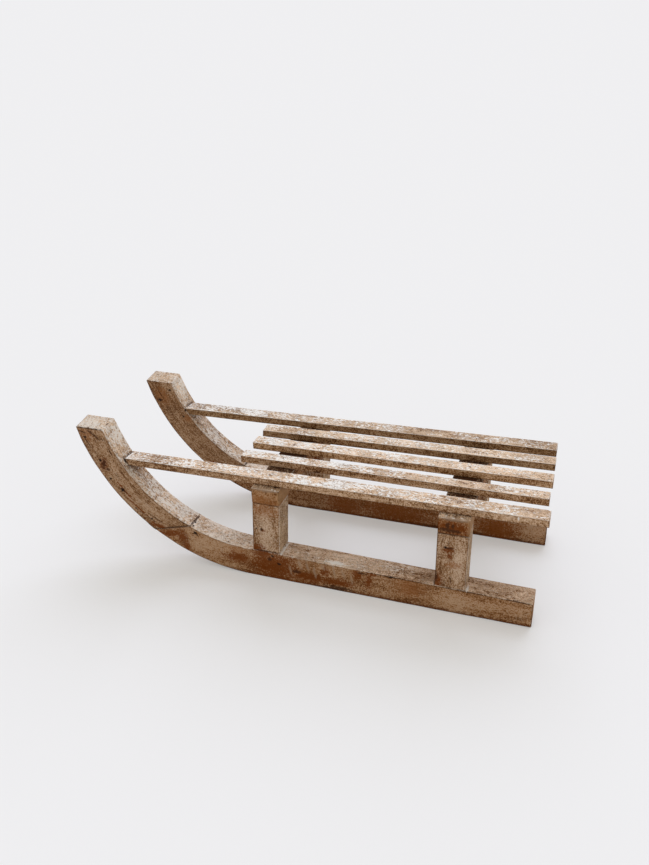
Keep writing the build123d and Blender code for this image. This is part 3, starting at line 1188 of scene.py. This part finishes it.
# %% Marks on the left runner
RUNNER_LEFT_MARKS = [
    # dark red stains behind the scarf, round the front post and along the sole
    *spots("red", LEFT, (298, 72, 40, 10, -11), (270, 68, 15, 24), (262, 45, 10, 12), (48, 34, 66, 44),
           (135, 40, 38, 14), (76, 62, 26, 16), (-40, 22, 30, 15), (-66, 44, 12, 14), (-171, 59, 8, 4),
           (-12, 22, 22, 14), (-95, 22, 38, 12), (-140, 50, 12, 14), (-163, 40, 7, 22)),
    *spots("warm", LEFT, (-250, 42, 34, 24), (136, 56, 20, 12)),
    # brush strokes of thin whitewash, and the pale places between the stains
    *scratches("smear", LEFT, ((-6, 64), (-14, 40), 4), ((-26, 60), (-31, 34), 3),
               ((-42, 50), (-46, 24), 3.4), ((-58, 62), (-66, 46), 4), ((-86, 60), (-90, 34), 2.6),
               ((-104, 58), (-112, 36), 3), ((-124, 52), (-128, 26), 2.6), ((14, 42), (10, 22), 3)),
    *spots("bright", LEFT, (-350, 34, 60, 26), (-430, 34, 50, 22), (-11, 53, 12, 9), (-62, 54, 14, 7),
           (205, 56, 24, 9)),
    *spots("dull", LEFT, (-100, 20, 60, 12), (60, 30, 70, 36), (-130, 40, 50, 30)),
    # cuts, the crack at the scarf, and the dark line under the top corner
    *scratches("dark", LEFT, ((-194, 61.5), (-222, 61), 2.2), ((236, 88), (228, 74), 2),
               ((236, 88), (243, 80), 1.6), ((-40, 4), (-120, 4), 3), ((-150, 63), (-290, 60.6), 1),
               ((-300, 60), (-420, 59), 1.1), ((-430, 58.5), (-494, 57), 1.3),
               ((247, 101), (340, 76), 0.8)),
    *spots("dark", LEFT, (60, 50, 6, 4), (-2, 30, 10, 5), (-100, 9, 34, 5), (-150, 58, 10, 3)),
    # the nail at the scarf, nail holes, and two nicks in the corner
    *spots("black", LEFT, (236.4, 84.9, 3.4, 3.4), (53, 60, 3.4, 3), (38, 42, 4, 3), (158, 73.5, 5, 2),
           (-212, 61.5, 7, 1.6)),
    # on top: a splash of lime, and a line of it at each post's foot
    *top_spots("lime", (-89, 161, 66.5, 24, 7, 8), (-365.5, 160, 61.5, 2.4, 12, 2.4),
               (32.2, 147, 68.3, 3, 30, 3)),
    # on top: limiest between the front post and the scarf, browner to the rear
    *top_spots("limy", (-100, 160, 66, 60, 10), (190, 144, 84, 110, 70, 50), (-230, 140, 64, 46, 18)),
    *top_spots("bright", (190, 144, 84, 130, 90, 60), (-120, 144, 65, 150, 34)),
    *top_spots("bare", (-50, 136, 66, 80, 20)),
    *top_spots("grimy", (-420, 140, 61, 60, 30), (-180, 138, 64, 80, 26)),
    # on top: two holes at the end of the scarf, and dark lines at the scarf and the posts' feet, dirt in the
    # joints and painted shade
    *top_spots("black", (244.5, 150.5, 99.1, 2.2, 3.4, 3), (243, 164, 98.5, 1.8, 2.6, 3)),
    # dark lines at the scarf and the posts' feet: dirt and painted shade in the joints
    *top_spots("dark", (247, 144, 101, 2, 28, 4), (-300, 144, 63, 3, 30, 3), (97, 144, 69, 3, 30, 3)),
    # the inner face, which never dried
    *spots("damp", LEFT_INNER, (-388, 30, 55, 20), (-140, 24, 120, 18)),
]
print("marks on the left runner:", len(RUNNER_LEFT_MARKS))

# %% [markdown]
# ## The right runner's marks, and the runners' wood
# The right runner's inner face shows between the posts: it never dried, and is dark along the sole. Its
# outer side is much the same as the left one's. Both runners have one finish and straight grain.

# %% The right runner's marks, and the runners' wood
RUNNER_RIGHT_MARKS = [
    # the inner face, which never dried
    *spots("damp", RIGHT_INNER, (-388, 30, 52, 40), (-150, 30, 104, 34), (-20, 26, 54, 36)),
    *spots("dark", RIGHT_INNER, (-270, 6, 190, 4)),
    *spots("bright", RIGHT_INNER, (-470, 34, 30, 22)),
    # the outer side, stained much as the left runner's
    *spots("red", RIGHT, (290, 72, 36, 11, -11), (20, 30, 80, 34), (-200, 16, 60, 12), (-330, 46, 20, 16)),
    *spots("bright", RIGHT, (-120, 40, 46, 20), (-430, 36, 34, 14), (180, 44, 26, 12)),
    *spots("warm", RIGHT, (110, 46, 40, 20)),
    *scratches("dark", RIGHT, ((-60, 50), (-96, 54), 2), ((-250, 60), (-290, 58), 2)),
    *spots("black", RIGHT, (238, 84, 3.4, 3.4), (-16, 50, 3.6, 3)),
    *spots("dark", RIGHT, (-14, 44, 12, 12)),
    # the top
    *top_spots("limy", (200, -144, 86, 70, 30, 26), (-140, -140, 64, 70, 26)),
    *top_spots("grimy", (-430, -144, 60, 60, 30)),
    *top_spots("bright", (190, -144, 84, 90, 50, 34)),
    # dark lines at the scarf and the posts' feet: dirt and painted shade in the joints
    *top_spots("dark", (247, -144, 101, 2, 28, 4), (-300, -144, 63, 3, 30, 3), (97, -144, 69, 3, 30, 3)),
]
for seed, side, marks in ((7, "left", RUNNER_LEFT_MARKS), (8, "right", RUNNER_RIGHT_MARKS)):
    finish_with(f"runner_{side}", weathered_wood(f"{side} runner wood", RUNNER, grain_straight, marks, seed))

# %% [markdown]
# ## The horns' paints
# The hollow of a horn faces the sky and the weather, and is as limy as the deck, on a greyer ground, so
# `facing` leans back. Its sides keep their brown.

# %% The horns' paints
HORN = {
    **PLAIN,
    "side": (paint(88, 54, 28), paint(130, 94, 62), paint(152, 116, 82), paint(182, 152, 124)),
    "top": (paint(112, 80, 54), paint(168, 136, 107), paint(204, 173, 143), paint(224, 198, 171)),
    "flecks": paint(226, 217, 206), "nicks": paint(116, 84, 58), "grime": paint(120, 92, 68),
    "cover": 0.64, "side_cover": 0.1, "figure": 1.3, "mottle": 0.7, "rubbed": 0.2,
    "facing": (-0.7, 0, 0.72), "ends": (0.34, 0, 0.94),
}
say_cover(HORN)

# %% [markdown]
# ## Marks on the left horn
# Scratches run down from the top, a knot sits halfway, and damp has crept up from the scarf. Dirt has
# gathered where the outer slat butts against the hollow.

# %% Marks on the left horn
HORN_LEFT_MARKS = [
    # the scarf, scratches down from the top, and cracks along the grain
    *scratches("dark", LEFT, ((247, 101), (340, 76), 0.8), ((476.8, 311.8), (450.5, 293), 2.2),
               ((466.3, 309.3), (444, 284.8), 2.2), ((498, 306), (474, 300), 2.4),
               ((490, 300), (470, 262), 1.6), ((506, 313.4), (437, 313.8), 1.4),
               ((428, 270), (418, 248), 1.8), ((444, 296), (434, 286), 2), ((372, 118), (330, 92), 1.4),
               ((352, 118), (318, 96), 1.3), ((420, 176), (398, 158), 1.5)),
    # damp that crept up along the grain
    *scratches("red", LEFT, ((402, 150), (350, 104), 3), ((420, 188), (384, 142), 3)),
    # small holes
    *spots("black", LEFT, (482.8, 291.4, 3, 2), (453.6, 237.5, 2.6, 2.6), (409, 167.8, 4, 4),
           (435.7, 192.8, 3, 3), (381.9, 124.9, 2.6, 2.6), (343.9, 103.1, 2.6, 2.6)),
    # the knot halfway up, and a star-shaped bruise
    *spots("dark", LEFT, (447, 228, 7, 14, 20), (438, 216, 6, 4), (409, 168, 9, 3, 40),
           (409, 168, 9, 3, -50)),
    *spots("red", LEFT, (447, 228, 11, 18, 20), (320, 84, 34, 7, 14)),
    *spots("warm", LEFT, (480, 300, 20, 16)),
    *spots("bright", LEFT, (410, 190, 30, 40, -40), (350, 125, 60, 26, 34)),
    # in the hollow: dirt where the slat butts, painted shade under its end, the scarf's dark line, partly
    # painted shade in the joint, a chip's edge
    *top_spots("dark", (403, 136, 236, 4, 27, 9), (397, 150, 224, 8, 14, 4), (248, 144, 101, 2, 28, 4),
               (437, 146, 318, 3, 7, 2)),
    *top_spots("black", (401, 156, 236, 6, 3, 10), (249.5, 148, 101, 2, 3, 3)),
    # painted shade on the hollow below the slat's end
    *top_spots("dull", (392, 144, 218, 14, 30, 12)),
    *top_spots("grimy", (420, 144, 260, 16, 26, 20)),
    # in the hollow and on the sawn top: lime and sun
    *top_spots("limy", (330, 144, 152, 50, 30, 50), (430, 130, 290, 16, 26, 40),
               (290, 144, 122, 50, 30, 30), (470, 144, 318, 60, 60, 12)),
    *top_spots("bright", (310, 144, 136, 70, 40, 40), (470, 144, 318, 90, 90, 16)),
]
print("marks on the left horn:", len(HORN_LEFT_MARKS))

# %% [markdown]
# ## The right horn's marks, and the horns' wood
# Seen from the left, the right horn shows its inner side, duller and with three small holes. The grain of
# both horns follows their bend.

# %% The right horn's marks, and the horns' wood
HORN_RIGHT_MARKS = [
    # the inner side: three small holes, and damp towards the foot
    *spots("black", RIGHT_INNER, (408, 218, 3.0, 2.6), (470, 257, 3.2, 2.6), (437, 288, 2.6, 2.6)),
    *spots("warm", RIGHT_INNER, (396, 214, 14, 10), (460, 270, 20, 28, -20)),
    *spots("dark", RIGHT_INNER, (470, 258, 7, 5)),
    *scratches("dark", RIGHT_INNER, ((480, 300), (452, 250), 1.2), ((446, 292), (440, 284), 1.6)),
    *spots("red", RIGHT_INNER, (330, 92, 22, 6, 24)),
    *spots("dull", RIGHT_INNER, (474, 275, 30, 50, -24), (440, 250, 30, 40, -24)),
    # the outer side, a guess made like the left horn's
    *scratches("dark", RIGHT, ((476, 300), (450, 268), 1.5), ((462, 298), (446, 272), 1.4)),
    *spots("dark", RIGHT, (440, 214, 8, 12, 20)),
    *spots("black", RIGHT, (444, 222, 3, 3), (372, 118, 3, 3)),
    *spots("red", RIGHT, (400, 156, 24, 8, 44)),
    *spots("bright", RIGHT, (350, 130, 40, 16, 34)),
    # the hollow: dirt where the slat butts, painted shade under its end, and the scarf's dark line, partly
    # painted shade in the joint
    *top_spots("dark", (403, -146, 236, 4, 27, 9), (397, -138, 224, 8, 14, 4), (248, -144, 101, 2, 28, 4)),
    *top_spots("black", (401, -122, 236, 5, 3, 10)),
    # painted shade on the hollow below the slat's end
    *top_spots("dull", (392, -144, 218, 14, 30, 12)),
    *top_spots("limy", (330, -144, 152, 60, 30, 60), (432, -144, 284, 24, 30, 40)),
    *top_spots("bright", (432, -144, 284, 24, 40, 40)),
]
for seed, side, marks in ((9, "left", HORN_LEFT_MARKS), (10, "right", HORN_RIGHT_MARKS)):
    finish_with(f"horn_{side}", weathered_wood(f"{side} horn wood", HORN, grain_bent, marks, seed))

# %% [markdown]
# ## The posts' paints
# The posts are a little paler than the runners, and palest at the back, where the sun reached under the
# deck, so `facing` points to the rear.

# %% The posts' paints
POST = {
    **PLAIN,
    "side": (paint(92, 56, 28), paint(138, 102, 70), paint(164, 130, 98), paint(198, 172, 148)),
    "top": (paint(114, 84, 56), paint(160, 129, 99), paint(186, 156, 124), paint(206, 180, 150)),
    "flecks": paint(216, 201, 183), "nicks": paint(112, 84, 58), "grime": paint(108, 80, 54),
    "cover": 0.25, "side_cover": 0.3, "figure": 1.2, "mottle": 1.0, "rubbed": 0.3,
    "facing": (-0.95, 0, 0.3), "ends": UP,
}
say_cover(POST)

# %% [markdown]
# ## The posts' wood
# Each post was nailed through its side, and rust has run down from the nail. Stains creep up from the
# runner, and lime has stayed in the joint at the foot. The grain stands upright, so a quarter turn about Y
# lays it along the first number of its place.

# %% The posts' wood
POST_MARKS = {
    "post_front_left": [
        # the stain at the foot, and rust round the nail
        *spots("red", LEFT, (88, 72, 20, 18), (70, 123, 5, 5)),
        *spots("warm", LEFT, (62, 176, 34, 18)),
        *spots("dark", LEFT, (73, 125.5, 4, 4), (60, 70, 30, 3)),
        *spots("black", LEFT, (74.4, 127.5, 2.6, 2.6), (84.5, 126.1, 1.8, 1.8)),
        *spots("bright", LEFT, (58, 126, 26, 50)),
        # a line of lime up the rear corner, which also paints the highlight on that corner, and one along the
        # foot
        *spots("lime", LEFT, (33.4, 86, 1.3, 22, 3.6, 2)),
        *top_spots("lime", (34, 147, 69, 2.6, 30, 2.4)),
    ],
    "post_front_right": [
        *spots("red", RIGHT, (60, 78, 24, 12), (70, 140, 8, 18)),
        *spots("black", RIGHT, (66, 150, 2.6, 2.6)),
        *spots("bright", RIGHT, (60, 110, 18, 22)),
        *spots("red", RIGHT_INNER, (64, 150, 30, 30)),
        *spots("dark", RIGHT_INNER, (60, 176, 24, 10)),
    ],
    "post_rear_left": [
        # rust round the nail and below it, and the stain at the foot
        *spots("red", LEFT, (-326, 153, 12, 9), (-329, 138, 5, 9, -20), (-307, 76, 9, 20)),
        *spots("dark", LEFT, (-326, 157, 9, 2.4), (-303, 84, 4, 12)),
        *spots("black", LEFT, (-319.4, 158, 3, 2.6)),
        *spots("bright", LEFT, (-345, 120, 22, 50)),
        *spots("warm", LEFT, (-336, 118, 18, 8)),
        # a line of lime along the foot, and a crack
        *top_spots("lime", (-364.5, 160, 62, 2.4, 12, 2.4)),
        *scratches("dark", LEFT, ((-330, 96), (-334, 70), 1.2)),
    ],
    "post_rear_right": [
        *spots("red", RIGHT, (-330, 150, 10, 12), (-310, 74, 12, 14)),
        *spots("black", RIGHT, (-326, 158, 2.6, 2.6)),
        *spots("bright", RIGHT, (-344, 120, 14, 26)),
        *spots("red", RIGHT_INNER, (-330, 130, 28, 40)),
    ],
}
upright = grain_turned((0, math.radians(90), 0))
for seed, (node, marks) in enumerate(POST_MARKS.items(), 11):
    finish_with(node, weathered_wood(node + " wood", POST, upright, marks, seed))

# %% [markdown]
# ## The crossbars' paints
# The crossbars are mostly hidden below the deck. They have kept their brown on the sides, and between the
# slats their tops are dark: no sun bleached them and no brush limed them, and the dark paint is also painted
# shade from the slats above.

# %% The crossbars' paints
CROSSBAR = {
    **PLAIN,
    "side": (paint(82, 44, 16), paint(128, 86, 48), paint(152, 108, 68), paint(176, 138, 104)),
    # the dark top paints and grime are dirt and also painted shade from the slats above
    "top": (paint(50, 28, 14), paint(84, 54, 32), paint(180, 142, 105), paint(236, 208, 178)),
    "flecks": paint(222, 210, 196), "nicks": paint(60, 38, 22), "grime": paint(60, 38, 22),
    "cover": 0.05, "side_cover": 0, "figure": 1.3, "mottle": 0.8, "ends": (0, 1, 0), "rubbed": 0.5,
}
say_cover(CROSSBAR)

# %% [markdown]
# ## The crossbars' wood
# The ends show below the deck: the front bar's plain warm brown, the rear bar's soaked dark red as if with
# old stain. On top, a pale ledge is left outside the outer slat. The rear faces are tan. The grain runs from
# side to side, so it is given a quarter turn about Z.

# %% The crossbars' wood
CROSSBAR_MARKS = {
    "crossbar_front": [
        *spots("warm", LEFT, (70, 200, 24, 12), (52, 194, 34, 9)),
        # the pale ledge in front of the outer slat, with dots of lime, and a painted glint of light between
        # two slats
        *top_spots("smear", (58, 169, BAR_TOP, 34, 13, 5)),
        *top_spots("lime", (44, 165, BAR_TOP, 2.4, 2), (36, 167, BAR_TOP, 2.4, 1.6),
                   (32.5, 100, BAR_TOP, 4, 7)),
        *spots("warm", RIGHT, (58, 206, 34, 16)),
        # painted shade from the deck on the front face below it, and on the top between the slats
        *top_spots("dark", (92, 0, 205, 5, 160, 14), (58, 0, BAR_TOP, 60, 145, 10)),
        *top_spots("bright", (58, 166, BAR_TOP, 60, 16), (27, 144, 207, 8, 50, 30),
                   (58, -164, BAR_TOP, 40, 12)),
        *top_spots("limy", (58, 166, BAR_TOP, 50, 14), (58, -164, BAR_TOP, 34, 8)),
        # the rear face, paler than the side
        *top_spots("tan", (27, 144, 207, 5, 40, 26)),
        *spots("bright", LEFT, (50, 212, 40, 12)),
        # the middle under the slats: dirt, and painted shade from the slats above
        *top_spots("dull", (58, 0, BAR_TOP, 40, 130, 10)),
        *top_spots("grimy", (58, 0, BAR_TOP, 60, 150, 14)),
    ],
    "crossbar_rear": [
        # an end soaked dark red
        *spots("red", LEFT, (-333, 205, 42, 19)),
        # the pale ledge in front of the outer slat, with dots of lime
        *top_spots("smear", (-333, 170, BAR_TOP, 34, 9, 5)),
        *top_spots("lime", (-347, 163, BAR_TOP, 3, 1.8), (-331, 166, BAR_TOP, 3.4, 1.6),
                   (-317, 162, BAR_TOP, 2.4, 1.6)),
        *scratches("dark", LEFT, ((-309, 222), (-358, 222), 1.6)),
        *spots("red", RIGHT, (-333, 206, 40, 22)),
        *top_spots("bright", (-333, 166, BAR_TOP, 60, 18), (-364, 144, 207, 8, 50, 30),
                   (-333, -164, BAR_TOP, 40, 12)),
        *top_spots("limy", (-333, 166, BAR_TOP, 50, 16), (-333, -164, BAR_TOP, 34, 8)),
        # the rear face, paler than the side
        *top_spots("tan", (-364, 144, 207, 5, 40, 26)),
        *spots("dull", LEFT, (-333, 203, 40, 14)),
        *spots("dark", LEFT, (-326, 198, 26, 5), (-322, 206, 5, 10), (-332, 208, 3, 7)),
        # the middle under the slats: dirt, and painted shade from the slats above
        *top_spots("dull", (-333, 0, BAR_TOP, 40, 130, 10)),
        *top_spots("grimy", (-333, 0, BAR_TOP, 60, 150, 14)),
        *top_spots("dark", (-333, 0, BAR_TOP, 60, 145, 10)),
    ],
}
sideways = grain_turned((0, 0, math.radians(90)))
for seed, (node, marks) in enumerate(CROSSBAR_MARKS.items(), 15):
    finish_with(node, weathered_wood(node + " wood", CROSSBAR, sideways, marks, seed))

# %% [markdown]
# ## Nails
# A hand-made nail head is a small lumpy disc. One is made with `create_cone`, its rim is rounded with
# `bevel`, its top is pressed out of true, and one is put down wherever a slat crosses a bar and three in
# each outer side. The heads of one side are one piece, because they are one kind of thing and move together.
# `sunk` says how far a head's top lies below the wood's face: the deck's nails stand a hair proud, the
# side's were driven in deeper.

# %% Nails
HEAD_DEPTH = 1.6
HEAD_SIDES = 14
OUT_OF_TRUE = 0.22


def nail_head(heads, place, facing, radius, dice):
    turn = Vector(facing).to_track_quat("Z", "Y").to_matrix().to_4x4()
    made = bmesh.ops.create_cone(
        heads, cap_ends=True, segments=HEAD_SIDES, radius1=radius * MM, radius2=radius * 0.86 * MM,
        depth=HEAD_DEPTH * MM, matrix=Matrix.Translation(place * MM) @ turn,
    )
    up = turn.to_3x3() @ Vector(UP)
    upper = [vert for vert in made["verts"] if (vert.co - place * MM).dot(up) > 0]
    for vert in upper:
        vert.co += Vector([dice.uniform(-OUT_OF_TRUE, OUT_OF_TRUE) * MM for _ in range(3)])
    rim = [edge for edge in heads.edges if all(end in upper for end in edge.verts)]
    bmesh.ops.bevel(
        heads, geom=rim, offset=0.45 * MM, offset_type="OFFSET", affect="EDGES",
        segments=2, profile=0.5, material=-1, clamp_overlap=True,
    )


def nails(name, places, facing, radius, sunk):
    dice = random.Random(name)
    heads = bmesh.new()
    for place in places:
        nail_head(heads, Vector(place) - Vector(facing) * (HEAD_DEPTH / 2 + sunk), facing, radius, dice)
    mesh = bpy.data.meshes.new(name)
    heads.to_mesh(mesh)
    heads.free()
    mesh.shade_smooth()
    piece = bpy.data.objects.new(name, mesh)
    scene.collection.objects.link(piece)
    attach(piece, "root")
    print(name, len(places), "heads")
    return piece


deck_places = [(x, y, DECK) for row in NAIL_ROWS.values() for x, y in row]
left_places = [(74.4, LEFT, 127.5), (-319.4, LEFT, 158), (236.4, LEFT, 84.9)]
right_places = [(66, RIGHT, 150), (-326, RIGHT, 158), (238, RIGHT, 84)]
deck_nails = nails("deck_nails", deck_places, UP, 2.6, -0.1)
left_nails = nails("left_side_nails", left_places, (0, 1, 0), 2.4, 0.55)
right_nails = nails("right_side_nails", right_places, (0, -1, 0), 2.4, 0.55)

# %% [markdown]
# ## Rusty iron
# Old nail heads are brown rather than grey. Rust is rough and patchy, and only the rubbed spots still look
# like metal, so one noise drives the colour, the roughness and how metallic the surface is.

# %% Rusty iron
rust = bpy.data.materials.new("rusty iron")
rust.use_nodes = True
rust.node_tree.nodes.clear()
place = Strand(rust.node_tree.nodes.new("ShaderNodeTexCoord").outputs["Object"])
rusted = place.noise(600, 4, 0.7)
colour = rusted.ramp((0.3, paint(74, 46, 28)), (0.5, paint(124, 92, 66)), (0.7, paint(160, 142, 124)))
rubbed = rusted.fade(0.58, 0.72)
pitted = place.noise(1500, 3, 0.7)
bump = pitted.node("ShaderNodeBump", None, {"Strength": 0.6, "Distance": 0.3 * MM, "Height": pitted})
iron = colour.node("ShaderNodeBsdfPrincipled", None, {
    "Base Color": colour, "Roughness": 0.85 - rubbed * 0.35, "Metallic": rubbed * 0.6, "Normal": bump,
})
iron.node("ShaderNodeOutputMaterial", None, {"Surface": iron})
for piece in (deck_nails, left_nails, right_nails):
    piece.data.materials.append(rust)
print("rusty iron has", len(rust.node_tree.nodes), "nodes")

# %% [markdown] ## The end Wear only ever takes wood away, so the dressed sledge has to lie inside
# the CAD box.
